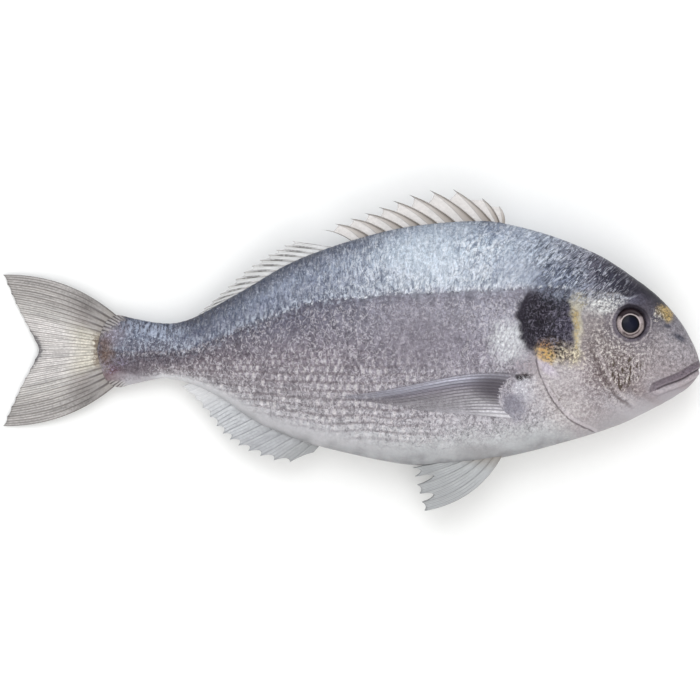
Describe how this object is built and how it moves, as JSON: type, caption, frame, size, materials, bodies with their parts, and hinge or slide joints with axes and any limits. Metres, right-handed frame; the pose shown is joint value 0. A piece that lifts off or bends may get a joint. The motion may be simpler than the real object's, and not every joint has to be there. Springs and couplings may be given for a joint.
{
  "type": "whole sea bream",
  "caption": "Whole raw silver sea bream lying on its flank, with a deep scaly body, spiny back fin, forked tail, folded side fins and round eyes.",
  "frame": {"origin": "centre of the object's bounding box at the height of the surface it lies on", "axes": "the head points to +X, the back to +Y, and the shown right flank faces +Z"},
  "size_m": [0.3, 0.1378, 0.0394],
  "materials": {
    "skin": "wet scaly fish skin, blue-grey back and silver flank",
    "eye": "wet dark eye with a silver ring"
  },
  "bodies": {
    "root": {"fish": "skin", "eye_right": "eye", "eye_left": "eye"}
  },
  "joints": []
}
